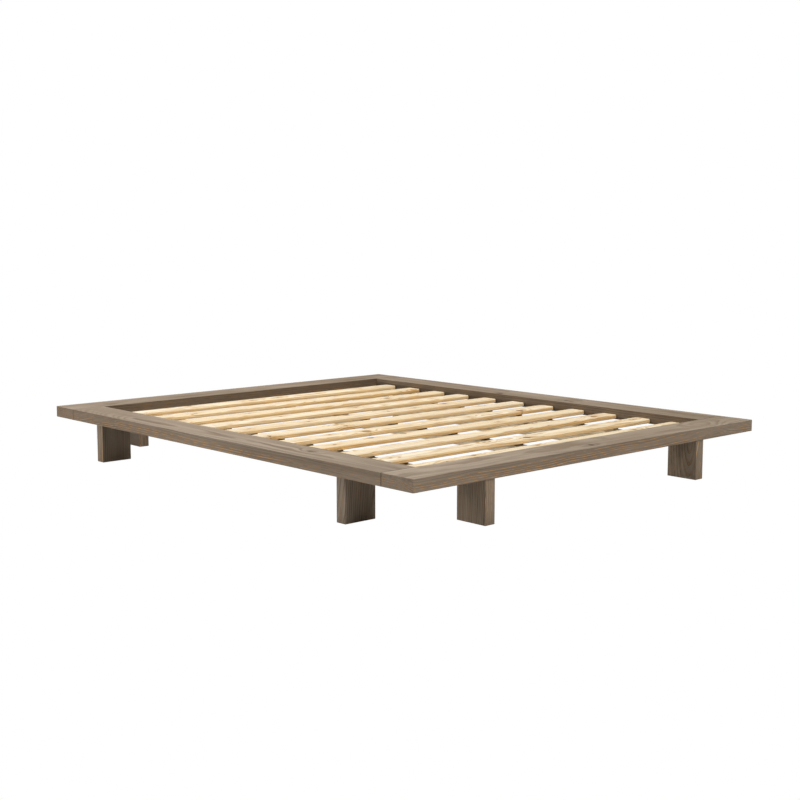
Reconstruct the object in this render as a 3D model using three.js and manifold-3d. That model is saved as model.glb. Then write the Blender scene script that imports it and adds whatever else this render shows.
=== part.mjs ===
// A low platform bed frame in pine: a flat surround of four stained rails on eight board legs,
// with eleven loose slats on three lengthwise bearers. Millimetres, +Z up, head end at +Y,
// foot end at -Y, origin on the floor under the middle of the frame.
import * as THREE from 'three';
import { mergeVertices } from 'three/addons/utils/BufferGeometryUtils.js';
import Module from 'manifold-3d';

const wasm = await Module();
wasm.setup();

// ---------------------------------------------------------------- driving dimensions
const WIDTH = 1900;
const LENGTH = 2304;
const HEIGHT = 203;
const GAP = 0.3; // clearance left between pieces that touch

const RAIL_WIDTH = 151;
const RAIL_THICKNESS = 46;
const RAIL_CORNER_RADIUS = 6;

const LEG_WIDTH = 134;
const LEG_THICKNESS = 46;
const LEG_INSET = 7; // outer edge of the rail to the outer edge of the leg
const END_LEG_X = 594; // legs under the foot and head rails
const LEFT_LEG_Y = 791; // legs under the left rail
const RIGHT_LEG_Y = 864; // legs under the right rail

const SLAT_COUNT = 11;
const SLAT_LENGTH = 1590;
const SLAT_WIDTH = 82;
const SLAT_THICKNESS = 18;
const SLAT_EDGE_RADIUS = 6;
const SLAT_DROP = 24; // top of the surround down to the top of the slats
const SLAT_PITCH = 179.2;
const SLAT_LAST_Y = -898; // middle of the slat nearest the foot
const HEAD_SLATS = 3; // the slats at the head sit a little closer to the rest
const HEAD_SLATS_SHIFT = -12;

const BEARER_X = END_LEG_X;
const BEARER_DROP = 4; // underside of the rails down to the top of the bearers
const SIDE_BEARER_WIDTH = 26;
const SIDE_BEARER_DEPTH = 80;
const SIDE_BEARER_END_DEPTH = 31;
const SIDE_BEARER_FULL_Y = 813; // half length of the full-depth stretch
const SIDE_BEARER_SWEEP = 149; // length of the sloping stretch
const BEARER_JOINT_Y = -8;
const BEARER_JOINT_GAP = 3.5;
const CENTRE_BEARER_WIDTH = 48;
const CENTRE_BEARER_DEPTH = 34;
const CENTRE_BEARER_HALF_LENGTH = 1038;
const CENTRE_NOTCH_Y = 993;
const CENTRE_NOTCH_DEPTH = 20; // wood left above the notch

const TENON_THICKNESS = 12;
const TENON_HEIGHT = 19;
const TENON_LENGTH = 18;

const SPLICE_LENGTH = 130;
const SPLICE_WIDTH = 44;
const SPLICE_THICKNESS = 12;

const SPACER_LENGTH = 30; // block glued to a bearer under the middle of each slat
const SPACER_SIDE_MARGIN = 2; // bearer left bare either side of a spacer

const DOWEL_RADIUS = 4;
const CORNER_DOWEL_LENGTH = 70;
const CORNER_DOWEL_OFFSET = 45; // either side of the middle of the joint
const LEG_DOWEL_LENGTH = 40;
const LEG_DOWEL_OUT = 38; // from the middle of the leg, outwards

const LEG_SCREW_RADIUS = 4;
const LEG_SCREW_IN = 30; // from the middle of the leg, inwards
const LEG_SCREW_LENGTH = 72;
const LEG_SCREW_FLANGE_RADIUS = 10;
const LEG_SCREW_FLANGE_THICKNESS = 2;
const LEG_SCREW_HEAD_RADIUS = 7.5;
const LEG_SCREW_HEAD_HEIGHT = 6;
const POCKET_FLOOR = 88;
const POCKET_ROOF = 114;
const POCKET_WIDTH = 26;
const POCKET_DEPTH = 48;

const PLATE_X = 100;
const PLATE_Y = 90;
const PLATE_THICKNESS = 3;
const PLATE_SCREW_X = 36;
const PLATE_SCREW_Y = 30;

const HANGER_THICKNESS = 2.5;
const HANGER_LENGTH = 34;
const HANGER_FLANGE = 22;
const HANGER_MIDDLE_Y = 1020;
const HANGER_SCREW_Y = 9;

const SCREW_HOLE_RADIUS = 2.3;
const RAIL_SCREW_DEPTH = 32;
const SPLICE_SCREW_DEPTH = 32;
const SPLICE_SCREW_Y = [20, 50];

const ROUND = 8; // sides of small round parts

// ---------------------------------------------------------------- levels and places
const RAIL_BOTTOM = HEIGHT - RAIL_THICKNESS;
const RAIL_MIDDLE_Z = RAIL_BOTTOM + RAIL_THICKNESS / 2;
const SLAT_TOP = HEIGHT - SLAT_DROP;
const SLAT_BOTTOM = SLAT_TOP - SLAT_THICKNESS;
const BEARER_TOP = RAIL_BOTTOM - BEARER_DROP;
const SIDE_BEARER_BOTTOM = BEARER_TOP - SIDE_BEARER_DEPTH;
const INNER_HALF_LENGTH = LENGTH / 2 - RAIL_WIDTH;
const SIDE_RAIL_LENGTH = 2 * (INNER_HALF_LENGTH - GAP);
const LEG_OUT = RAIL_WIDTH / 2 - LEG_INSET - LEG_WIDTH / 2; // middle of the rail to the middle of the leg
const END_LEG_Y = LENGTH / 2 - RAIL_WIDTH / 2 + LEG_OUT;
const SIDE_LEG_X = WIDTH / 2 - RAIL_WIDTH / 2 + LEG_OUT;
const END_LEG_INNER_Y = END_LEG_Y - LEG_WIDTH / 2;
const PLATE_TOP = RAIL_BOTTOM - GAP;

// Quarter turns that carry a piece drawn for the foot end (outwards is -Y) to each side.
const TURN = { foot: 0, right: Math.PI / 2, head: Math.PI, left: -Math.PI / 2 };

const legStations = [
  { name: 'foot_left', side: 'foot', x: -END_LEG_X, y: -END_LEG_Y },
  { name: 'foot_right', side: 'foot', x: END_LEG_X, y: -END_LEG_Y },
  { name: 'head_left', side: 'head', x: -END_LEG_X, y: END_LEG_Y },
  { name: 'head_right', side: 'head', x: END_LEG_X, y: END_LEG_Y },
  { name: 'left_foot', side: 'left', x: -SIDE_LEG_X, y: -LEFT_LEG_Y },
  { name: 'left_head', side: 'left', x: -SIDE_LEG_X, y: LEFT_LEG_Y },
  { name: 'right_foot', side: 'right', x: SIDE_LEG_X, y: -RIGHT_LEG_Y },
  { name: 'right_head', side: 'right', x: SIDE_LEG_X, y: RIGHT_LEG_Y },
];

// ---------------------------------------------------------------- materials
const finish = {
  stained: { color: 0x8c7c69, roughness: 0.62, metalness: 0 },
  pine: { color: 0xe8d3a6, roughness: 0.6, metalness: 0 },
  beech: { color: 0xcfa77a, roughness: 0.6, metalness: 0 },
  steel: { color: 0xb9bcc0, roughness: 0.35, metalness: 1 },
};

const bed = new THREE.Group();
bed.name = 'bed_frame';

function addPart(name, geometry, look, position = [0, 0, 0], turn = 0) {
  const mesh = new THREE.Mesh(geometry, new THREE.MeshStandardMaterial(finish[look]));
  mesh.name = name;
  mesh.position.set(...position);
  mesh.rotation.z = turn;
  bed.add(mesh);
}

// ---------------------------------------------------------------- geometry helpers
function toSolid(geometry) {
  const bare = geometry.clone();
  bare.deleteAttribute('normal');
  bare.deleteAttribute('uv');
  const welded = mergeVertices(bare, 1e-4);
  return new wasm.Manifold(new wasm.Mesh({
    numProp: 3,
    vertProperties: new Float32Array(welded.attributes.position.array),
    triVerts: new Uint32Array(welded.index.array),
  }));
}

function toGeometry(solid) {
  const mesh = solid.getMesh();
  const geometry = new THREE.BufferGeometry();
  geometry.setAttribute('position', new THREE.BufferAttribute(new Float32Array(mesh.vertProperties), 3));
  geometry.setIndex(new THREE.BufferAttribute(new Uint32Array(mesh.triVerts), 1));
  geometry.computeVertexNormals();
  return geometry;
}

function cut(geometry, tools) {
  const solid = tools.reduce((left, tool) => left.subtract(toSolid(tool)), toSolid(geometry));
  return toGeometry(solid);
}

function join(geometry, other) {
  return toGeometry(toSolid(geometry).add(toSolid(other)));
}

function block(sizeX, sizeY, sizeZ, x = 0, y = 0, z = 0) {
  return new THREE.BoxGeometry(sizeX, sizeY, sizeZ).translate(x, y, z);
}

// A round bar from `bottom` to `top`, upright at (x, y).
function post(radius, x, y, bottom, top, sides = ROUND) {
  const bar = new THREE.CylinderGeometry(radius, radius, top - bottom, sides);
  return bar.rotateX(Math.PI / 2).translate(x, y, (bottom + top) / 2);
}

// A closed outline of [y, z] points, extruded along X about x = 0.
function beam(outline, lengthX) {
  const shape = outline instanceof THREE.Shape
    ? outline
    : new THREE.Shape(outline.map(([y, z]) => new THREE.Vector2(y, z)));
  const geometry = new THREE.ExtrudeGeometry(shape, {
    depth: lengthX,
    bevelEnabled: false,
    curveSegments: 3,
  });
  const axes = new THREE.Matrix4().makeBasis(
    new THREE.Vector3(0, 1, 0),
    new THREE.Vector3(0, 0, 1),
    new THREE.Vector3(1, 0, 0),
  );
  return geometry.applyMatrix4(axes).translate(-lengthX / 2, 0, 0);
}

function screwHole(x, y, bottom, top) {
  return post(SCREW_HOLE_RADIUS, x, y, bottom, top);
}

function mirrored(values) {
  return values.flatMap((value) => [-value, value]);
}

// ---------------------------------------------------------------- rails
// A rail is drawn along X about its own middle, with its outer edge at -Y. The holes in its
// underside take the screws and dowels of its legs and the screws of the plates under it.
function rail(length, outerRadius, legPlaces, screwPlaces) {
  const half = RAIL_WIDTH / 2;
  const outline = new THREE.Shape();
  if (outerRadius > 0) {
    outline.absarc(-length / 2 + outerRadius, -half + outerRadius, outerRadius, Math.PI, 1.5 * Math.PI);
    outline.absarc(length / 2 - outerRadius, -half + outerRadius, outerRadius, 1.5 * Math.PI, 2 * Math.PI);
  } else {
    outline.moveTo(-length / 2, -half);
    outline.lineTo(length / 2, -half);
  }
  outline.lineTo(length / 2, half);
  outline.lineTo(-length / 2, half);
  const board = new THREE.ExtrudeGeometry(outline, {
    depth: RAIL_THICKNESS,
    bevelEnabled: false,
    curveSegments: 3,
  }).translate(0, 0, -RAIL_THICKNESS / 2);

  const under = -RAIL_THICKNESS / 2;
  const tools = [];
  for (const x of legPlaces) {
    const screwTop = POCKET_ROOF + LEG_SCREW_LENGTH + 1 - RAIL_MIDDLE_Z;
    const dowelTop = under + LEG_DOWEL_LENGTH / 2 + 1;
    tools.push(post(LEG_SCREW_RADIUS + GAP, x, LEG_SCREW_IN - LEG_OUT, under - 1, screwTop));
    tools.push(post(DOWEL_RADIUS + GAP, x, -LEG_DOWEL_OUT - LEG_OUT, under - 1, dowelTop));
  }
  for (const [x, y] of screwPlaces) {
    tools.push(screwHole(x, y, under - 1, under + RAIL_SCREW_DEPTH));
  }
  return { board, tools };
}

function cornerScrewPlaces(endX, endY) {
  return mirrored([endX]).flatMap((x) => mirrored([PLATE_SCREW_X]).map((dx) => [x + dx, endY]));
}

function dowelBore(x, y, halfLength, alongY) {
  const bar = new THREE.CylinderGeometry(
    DOWEL_RADIUS + GAP,
    DOWEL_RADIUS + GAP,
    2 * halfLength,
    ROUND,
  );
  return (alongY ? bar : bar.rotateZ(Math.PI / 2)).translate(x, y, 0);
}

const cornerX = WIDTH / 2 - RAIL_WIDTH / 2;
const hangerScrewX = mirrored([
  CENTRE_BEARER_WIDTH / 2 + GAP + HANGER_THICKNESS + HANGER_FLANGE / 2,
]);
const cornerDowelX = mirrored([cornerX]).flatMap(
  (x) => mirrored([CORNER_DOWEL_OFFSET]).map((dx) => x + dx),
);

function endRail() {
  const screwY = RAIL_WIDTH / 2 - PLATE_SCREW_Y;
  const hangerY = LENGTH / 2 - RAIL_WIDTH / 2 - HANGER_MIDDLE_Y;
  const hangerScrews = hangerScrewX.flatMap(
    (x) => mirrored([HANGER_SCREW_Y]).map((dy) => [x, hangerY + dy]),
  );
  const { board, tools } = rail(
    WIDTH,
    RAIL_CORNER_RADIUS,
    mirrored([END_LEG_X]),
    [...cornerScrewPlaces(cornerX, screwY), ...hangerScrews],
  );
  for (const x of cornerDowelX) {
    tools.push(dowelBore(x, RAIL_WIDTH / 2, CORNER_DOWEL_LENGTH / 2 + 1, true));
  }
  return cut(board, tools);
}

function sideRail(legY) {
  const screwX = SIDE_RAIL_LENGTH / 2 + GAP - PLATE_SCREW_Y;
  const screws = mirrored([screwX]).flatMap(
    (x) => mirrored([PLATE_SCREW_X]).map((y) => [x, y]),
  );
  const { board, tools } = rail(SIDE_RAIL_LENGTH, 0, mirrored([legY]), screws);
  for (const x of mirrored([SIDE_RAIL_LENGTH / 2])) {
    for (const y of mirrored([CORNER_DOWEL_OFFSET])) {
      tools.push(dowelBore(x, y, CORNER_DOWEL_LENGTH / 2 + 1, false));
    }
  }
  return cut(board, tools);
}

const endRailY = LENGTH / 2 - RAIL_WIDTH / 2;
addPart('rail_foot', endRail(), 'stained', [0, -endRailY, RAIL_MIDDLE_Z], TURN.foot);
addPart('rail_head', endRail(), 'stained', [0, endRailY, RAIL_MIDDLE_Z], TURN.head);
addPart('rail_left', sideRail(LEFT_LEG_Y), 'stained', [-cornerX, 0, RAIL_MIDDLE_Z], TURN.left);
addPart('rail_right', sideRail(RIGHT_LEG_Y), 'stained', [cornerX, 0, RAIL_MIDDLE_Z], TURN.right);

// ---------------------------------------------------------------- legs
// A leg is drawn with its wide side along Y and its outer edge at -Y, standing on z = 0. The
// end legs also have a mortise in the inner edge for the bearer's tenon.
function leg(withMortise) {
  const top = RAIL_BOTTOM - GAP;
  const innerEdge = LEG_WIDTH / 2;
  const tools = [
    post(LEG_SCREW_RADIUS + GAP, 0, LEG_SCREW_IN, POCKET_ROOF - 1, top + 1),
    post(DOWEL_RADIUS + GAP, 0, -LEG_DOWEL_OUT, RAIL_BOTTOM - LEG_DOWEL_LENGTH / 2 - 1, top + 1),
    block(
      POCKET_WIDTH,
      POCKET_DEPTH + 1,
      POCKET_ROOF - POCKET_FLOOR,
      0,
      innerEdge + 0.5 - POCKET_DEPTH / 2,
      (POCKET_ROOF + POCKET_FLOOR) / 2,
    ),
  ];
  if (withMortise) {
    const tenonMiddle = BEARER_TOP - SIDE_BEARER_END_DEPTH / 2;
    tools.push(block(
      TENON_THICKNESS + 2 * GAP,
      TENON_LENGTH + 2,
      TENON_HEIGHT + 2 * GAP,
      0,
      innerEdge - TENON_LENGTH / 2,
      tenonMiddle,
    ));
  }
  return cut(block(LEG_THICKNESS, LEG_WIDTH, top, 0, 0, top / 2), tools);
}

// A coach screw with a flanged head, driven up from the pocket into the rail.
function legScrew() {
  const seat = POCKET_ROOF - GAP;
  const flangeUnder = seat - LEG_SCREW_FLANGE_THICKNESS;
  const shank = post(LEG_SCREW_RADIUS, 0, LEG_SCREW_IN, seat - 1, POCKET_ROOF + LEG_SCREW_LENGTH);
  const flange = post(LEG_SCREW_FLANGE_RADIUS, 0, LEG_SCREW_IN, flangeUnder, seat, 2 * ROUND);
  const headUnder = flangeUnder - LEG_SCREW_HEAD_HEIGHT;
  const head = post(LEG_SCREW_HEAD_RADIUS, 0, LEG_SCREW_IN, headUnder, flangeUnder + 1, 6);
  return join(join(shank, flange), head);
}

function legDowel() {
  const half = LEG_DOWEL_LENGTH / 2;
  return post(DOWEL_RADIUS, 0, -LEG_DOWEL_OUT, RAIL_BOTTOM - half, RAIL_BOTTOM + half);
}

for (const { name, side, x, y } of legStations) {
  const onEndRail = side === 'foot' || side === 'head';
  addPart(`leg_${name}`, leg(onEndRail), 'stained', [x, y, 0], TURN[side]);
  addPart(`leg_screw_${name}`, legScrew(), 'steel', [x, y, 0], TURN[side]);
  addPart(`leg_dowel_${name}`, legDowel(), 'beech', [x, y, 0], TURN[side]);
}

// ---------------------------------------------------------------- corner joints
const corners = [
  { name: 'foot_left', x: -cornerX, y: -INNER_HALF_LENGTH },
  { name: 'foot_right', x: cornerX, y: -INNER_HALF_LENGTH },
  { name: 'head_left', x: -cornerX, y: INNER_HALF_LENGTH },
  { name: 'head_right', x: cornerX, y: INNER_HALF_LENGTH },
];

function cornerPlate() {
  const holes = mirrored([PLATE_SCREW_X]).flatMap((x) => mirrored([PLATE_SCREW_Y]).map(
    (y) => screwHole(x, y, -PLATE_THICKNESS, PLATE_THICKNESS),
  ));
  return cut(block(PLATE_X, PLATE_Y, PLATE_THICKNESS), holes);
}

for (const { name, x, y } of corners) {
  addPart(`corner_plate_${name}`, cornerPlate(), 'steel', [x, y, PLATE_TOP - PLATE_THICKNESS / 2]);
  for (const [place, sign] of [['outer', 1], ['inner', -1]]) {
    const dowel = new THREE.CylinderGeometry(DOWEL_RADIUS, DOWEL_RADIUS, CORNER_DOWEL_LENGTH, ROUND);
    const dowelX = x + sign * Math.sign(x) * CORNER_DOWEL_OFFSET;
    addPart(`corner_dowel_${name}_${place}`, dowel, 'beech', [dowelX, y, RAIL_MIDDLE_Z]);
  }
}

// ---------------------------------------------------------------- slat places
// Slat 1 is at the head.
const slatMiddles = Array.from({ length: SLAT_COUNT }, (_, index) => {
  const regular = SLAT_LAST_Y + (SLAT_COUNT - 1 - index) * SLAT_PITCH;
  return index < HEAD_SLATS ? regular + HEAD_SLATS_SHIFT : regular;
});

// Spacer blocks glued on a bearer that runs from y = `from` to y = `to`, one under each slat.
function addSpacers(bearer, bearerWidth, from, to) {
  const width = bearerWidth - 2 * SPACER_SIDE_MARGIN;
  const sunk = 1;
  const height = SLAT_BOTTOM - GAP - BEARER_TOP + sunk;
  let glued = toSolid(bearer);
  for (const middle of slatMiddles) {
    const start = Math.max(middle - SPACER_LENGTH / 2, from);
    const end = Math.min(middle + SPACER_LENGTH / 2, to);
    if (end > start) {
      const z = BEARER_TOP - sunk + height / 2;
      glued = glued.add(toSolid(block(width, end - start, height, 0, (start + end) / 2, z)));
    }
  }
  return toGeometry(glued);
}

// ---------------------------------------------------------------- side bearers
// A half of a side bearer. Its underside sweeps up towards the leg, where it ends in a tenon;
// `sign` is -1 for the foot half and 1 for the head half.
function sideBearerHalf(sign) {
  const jointY = BEARER_JOINT_Y + sign * BEARER_JOINT_GAP / 2;
  const endY = sign * (END_LEG_INNER_Y - GAP);
  const endUnder = BEARER_TOP - SIDE_BEARER_END_DEPTH;
  const outline = [
    [jointY, BEARER_TOP],
    [endY, BEARER_TOP],
    [endY, endUnder],
    [sign * (SIDE_BEARER_FULL_Y + SIDE_BEARER_SWEEP), endUnder],
    [sign * SIDE_BEARER_FULL_Y, SIDE_BEARER_BOTTOM],
    [jointY, SIDE_BEARER_BOTTOM],
  ];
  const tenon = block(
    TENON_THICKNESS,
    TENON_LENGTH + 1,
    TENON_HEIGHT,
    0,
    endY + sign * (TENON_LENGTH - 1) / 2,
    BEARER_TOP - SIDE_BEARER_END_DEPTH / 2,
  );
  const holes = SPLICE_SCREW_Y.map((y) => screwHole(
    0,
    BEARER_JOINT_Y + sign * y,
    SIDE_BEARER_BOTTOM - 1,
    SIDE_BEARER_BOTTOM + SPLICE_SCREW_DEPTH,
  ));
  const board = cut(join(beam(outline, SIDE_BEARER_WIDTH), tenon), holes);
  return addSpacers(board, SIDE_BEARER_WIDTH, Math.min(jointY, endY), Math.max(jointY, endY));
}

for (const [side, x] of [['left', -BEARER_X], ['right', BEARER_X]]) {
  for (const [end, sign] of [['foot', -1], ['head', 1]]) {
    addPart(`bearer_${side}_${end}`, sideBearerHalf(sign), 'pine', [x, 0, 0]);
  }
}

// ---------------------------------------------------------------- splice blocks
function spliceBlock() {
  const holes = mirrored(SPLICE_SCREW_Y).map(
    (y) => screwHole(0, y, -SPLICE_THICKNESS, SPLICE_THICKNESS),
  );
  return cut(block(SPLICE_WIDTH, SPLICE_LENGTH, SPLICE_THICKNESS), holes);
}

const spliceZ = SIDE_BEARER_BOTTOM - GAP - SPLICE_THICKNESS / 2;
addPart('splice_left', spliceBlock(), 'pine', [-BEARER_X, BEARER_JOINT_Y, spliceZ]);
addPart('splice_right', spliceBlock(), 'pine', [BEARER_X, BEARER_JOINT_Y, spliceZ]);

// ---------------------------------------------------------------- centre bearer and hangers
const notchBottom = BEARER_TOP - CENTRE_NOTCH_DEPTH;
const centreBottom = BEARER_TOP - CENTRE_BEARER_DEPTH;
const centreBearer = beam([
  [CENTRE_BEARER_HALF_LENGTH, BEARER_TOP],
  [-CENTRE_BEARER_HALF_LENGTH, BEARER_TOP],
  [-CENTRE_BEARER_HALF_LENGTH, notchBottom],
  [-CENTRE_NOTCH_Y, notchBottom],
  [-CENTRE_NOTCH_Y, centreBottom],
  [CENTRE_NOTCH_Y, centreBottom],
  [CENTRE_NOTCH_Y, notchBottom],
  [CENTRE_BEARER_HALF_LENGTH, notchBottom],
], CENTRE_BEARER_WIDTH);
addPart('bearer_centre', addSpacers(
  centreBearer,
  CENTRE_BEARER_WIDTH,
  -CENTRE_BEARER_HALF_LENGTH,
  CENTRE_BEARER_HALF_LENGTH,
), 'pine');

// A strap folded into a cradle: two flanges under the rail, two sides and a floor.
function hanger() {
  const t = HANGER_THICKNESS;
  const inner = CENTRE_BEARER_WIDTH / 2 + GAP;
  const outer = inner + t;
  const reach = outer + HANGER_FLANGE;
  const top = RAIL_BOTTOM - GAP;
  const floor = notchBottom - GAP;
  const outline = new THREE.Shape([
    [-reach, top],
    [-reach, top - t],
    [-outer, top - t],
    [-outer, floor - t],
    [outer, floor - t],
    [outer, top - t],
    [reach, top - t],
    [reach, top],
    [inner, top],
    [inner, floor],
    [-inner, floor],
    [-inner, top],
  ].map(([x, z]) => new THREE.Vector2(x, z)));
  const strap = new THREE.ExtrudeGeometry(outline, { depth: HANGER_LENGTH, bevelEnabled: false });
  strap.rotateX(Math.PI / 2).translate(0, HANGER_LENGTH / 2, 0);
  const holes = hangerScrewX.flatMap((x) => mirrored([HANGER_SCREW_Y]).map(
    (y) => screwHole(x, y, top - 2 * t, top + t),
  ));
  return cut(strap, holes);
}

addPart('hanger_foot', hanger(), 'steel', [0, -HANGER_MIDDLE_Y, 0]);
addPart('hanger_head', hanger(), 'steel', [0, HANGER_MIDDLE_Y, 0]);

// ---------------------------------------------------------------- slats
function slat() {
  const y = SLAT_WIDTH / 2;
  const z = SLAT_THICKNESS / 2;
  const r = SLAT_EDGE_RADIUS;
  const outline = new THREE.Shape();
  outline.absarc(y - r, -z + r, r, -Math.PI / 2, 0);
  outline.absarc(y - r, z - r, r, 0, Math.PI / 2);
  outline.absarc(-y + r, z - r, r, Math.PI / 2, Math.PI);
  outline.absarc(-y + r, -z + r, r, Math.PI, 1.5 * Math.PI);
  return beam(outline, SLAT_LENGTH);
}

slatMiddles.forEach((y, index) => {
  const name = `slat_${String(index + 1).padStart(2, '0')}`;
  addPart(name, slat(), 'pine', [0, y, (SLAT_TOP + SLAT_BOTTOM) / 2]);
});

export default bed;
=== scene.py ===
"""A low pine platform bed frame: stained rails and board legs round a bare slatted base.

Everything is in metres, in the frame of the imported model: +Z up, head end at +Y, foot end at -Y.
"""

import math
import random

import bmesh
import bpy
from mathutils import Euler, Matrix, Vector, noise


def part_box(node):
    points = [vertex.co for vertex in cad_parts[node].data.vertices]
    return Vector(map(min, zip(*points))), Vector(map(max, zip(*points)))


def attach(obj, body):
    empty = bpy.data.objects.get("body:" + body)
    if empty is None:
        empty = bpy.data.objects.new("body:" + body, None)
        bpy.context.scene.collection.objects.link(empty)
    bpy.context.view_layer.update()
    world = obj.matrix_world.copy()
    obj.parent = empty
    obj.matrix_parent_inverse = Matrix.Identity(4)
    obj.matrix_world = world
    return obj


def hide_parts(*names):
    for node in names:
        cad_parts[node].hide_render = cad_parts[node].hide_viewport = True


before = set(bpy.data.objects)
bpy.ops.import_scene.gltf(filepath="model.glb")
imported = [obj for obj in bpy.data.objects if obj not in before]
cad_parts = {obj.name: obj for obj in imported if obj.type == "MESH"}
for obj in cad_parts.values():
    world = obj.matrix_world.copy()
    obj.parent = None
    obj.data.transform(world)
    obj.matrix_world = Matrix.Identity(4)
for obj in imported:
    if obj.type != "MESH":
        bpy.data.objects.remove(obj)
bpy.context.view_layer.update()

BODY = "root"
MM = 0.001


# ---------------------------------------------------------------- camera
CAMERA_PLACE = (-3.6916, -4.0837, 0.9774)
CAMERA_HEADING = 42.49  # degrees from +Y towards +X
CAMERA_PITCH = 7.455  # degrees below the horizon
CAMERA_LENS = 58.885  # mm, on the sensor below
SENSOR_WIDTH = 36
CAMERA_REACH = 200  # metres


def make_camera():
    data = bpy.data.cameras.new("camera")
    data.sensor_width = SENSOR_WIDTH
    data.lens = CAMERA_LENS
    data.clip_end = CAMERA_REACH
    camera = bpy.data.objects.new("camera", data)
    camera.location = CAMERA_PLACE
    camera.rotation_euler = (math.radians(90 - CAMERA_PITCH), 0, math.radians(-CAMERA_HEADING))
    bpy.context.scene.collection.objects.link(camera)
    bpy.context.scene.camera = camera


make_camera()


# ---------------------------------------------------------------- colours
def linear(red, green, blue):
    """The linear colour of an sRGB colour given in steps of 255."""

    def channel(value):
        share = value / 255
        return share / 12.92 if share <= 0.04045 else ((share + 0.055) / 1.055) ** 2.4

    return (channel(red), channel(green), channel(blue), 1)


STAINED = {
    "early": linear(156, 141, 124),
    "deep": linear(126, 111, 94),
    "late": linear(104, 89, 72),
    "glow": linear(204, 155, 101),
    "knot": linear(84, 68, 54),
    "knot_rim": linear(58, 46, 37),
}
BARE = {
    "early": linear(223, 215, 198),
    "deep": linear(219, 200, 164),
    "late": linear(180, 143, 94),
    "glow": linear(198, 162, 108),
    "knot": linear(158, 116, 66),
    "knot_rim": linear(92, 62, 32),
}


# ---------------------------------------------------------------- node helpers
class Tree:
    """Short calls for building one node tree."""

    def __init__(self, tree):
        self.tree = tree

    def node(self, kind, inputs=None, **settings):
        made = self.tree.nodes.new(kind)
        for key, value in settings.items():
            setattr(made, key, value)
        for key, value in (inputs or {}).items():
            self.feed(made.inputs[key], value)
        return made

    def feed(self, socket, value):
        if isinstance(value, bpy.types.NodeSocket):
            self.tree.links.new(value, socket)
        else:
            socket.default_value = value

    def math(self, operation, *values, clamp=False):
        inputs = dict(enumerate(values))
        made = self.node("ShaderNodeMath", inputs, operation=operation, use_clamp=clamp)
        return made.outputs[0]

    def vector(self, operation, *values):
        made = self.node("ShaderNodeVectorMath", dict(enumerate(values)), operation=operation)
        return made.outputs["Value" if operation in ("LENGTH", "DOT_PRODUCT") else "Vector"]

    def scaled_noise(self, place, scale, detail, rough=0.5):
        """The value and colour of a noise whose lumps are 1 / scale metres along each axis."""
        stretched = self.vector("MULTIPLY", place, scale)
        made = self.node(
            "ShaderNodeTexNoise",
            {"Vector": stretched, "Scale": 1.0, "Detail": detail, "Roughness": rough},
        )
        return made.outputs["Fac"], made.outputs["Color"]

    def remap(self, value, low, high, to_low=0.0, to_high=1.0, smooth=True):
        made = self.node(
            "ShaderNodeMapRange",
            {"Value": value, 1: low, 2: high, 3: to_low, 4: to_high},
            interpolation_type="SMOOTHSTEP" if smooth else "LINEAR",
        )
        return made.outputs["Result"]

    def blend(self, share, first, second, kind="MIX"):
        made = self.node("ShaderNodeMix", {0: share}, data_type="RGBA", blend_type=kind)
        self.feed(made.inputs[6], first)
        self.feed(made.inputs[7], second)
        return made.outputs[2]

    def shade(self, colour, tone):
        return self.blend(1.0, colour, self.join(tone, tone, tone), "MULTIPLY")

    def split(self, vector):
        return tuple(self.node("ShaderNodeSeparateXYZ", {0: vector}).outputs)

    def join(self, x=0.0, y=0.0, z=0.0):
        return self.node("ShaderNodeCombineXYZ", {0: x, 1: y, 2: z}).outputs[0]


def new_material(name):
    material = bpy.data.materials.new(name)
    material.use_nodes = True
    tree = material.node_tree
    tree.nodes.clear()
    build = Tree(tree)
    shader = build.node("ShaderNodeBsdfPrincipled")
    output = build.node("ShaderNodeOutputMaterial")
    tree.links.new(shader.outputs[0], output.inputs[0])
    return material, build, shader


# ---------------------------------------------------------------- wood
# The board's own axes, after the Mapping node: X runs along the grain, Y across the wide face
# and Z through the thickness. The pith of the tree runs along X, below or beside the board.
ALONG = {
    "X": Matrix.Identity(3),
    "Y": Matrix(((0, 1, 0), (-1, 0, 0), (0, 0, 1))),
    "Z": Matrix(((0, 0, 1), (0, 1, 0), (-1, 0, 0))),
}
QUARTER_TURN = Matrix(((1, 0, 0), (0, 0, 1), (0, -1, 0)))
SEED_STEPS = (3.17, 1.31, 0.73)

# Noise in the wood: lumps in a metre along, across and through, then detail and roughness.
SLOW_SWAY = ((1.3, 4.0, 4.0), 1)
QUICK_SWAY = ((7.0, 26.0, 26.0), 2)
RAGGED = ((60, 90, 90), 3)
FIBRE = ((9, 420, 420), 3, 0.6)
STREAK = ((1.6, 60, 60), 3, 0.55)
CLOUD = ((1.1, 6, 6), 2)
PATCH = ((3.0, 22, 22), 2)
DASH = ((24, 130, 130), 2)
QUICK_PART = 6  # the quick sway is a sixth of the slow one

# Knots: places for them step with the seed along and across; sizes are radii.
KNOT_STEPS = (7.7, 3.3)
KNOT_LEAST = 4 * MM
KNOT_RANGE = 10 * MM
KNOT_RAGGED = 2.2 * MM
KNOT_RINGS = 2.6 / MM  # radians of ring in a metre
KNOT_CORE = (0.75, 1.05)  # where the core and the rim fade, in shares of the knot's size
KNOT_RIM = (0.95, 1.7)
KNOT_STRETCH = 0.33  # the flow of grain round a knot is three times as long as wide
HALO_REACH = 24 * MM
SWELL_REACH = 34 * MM
SWELL_HEIGHT = 11 * MM

# A year runs from 0 to 1: pale early wood, then late wood that ends sharply.
LATE_RISE = (0.25, 0.86)
LATE_FALL = (0.93, 1.0)
LATE_POWER = 2.2
LINE_RISE = (0.62, 0.8)
LINE_FALL = (0.86, 0.95)
UNEVEN_YEARS = 1.6

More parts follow.
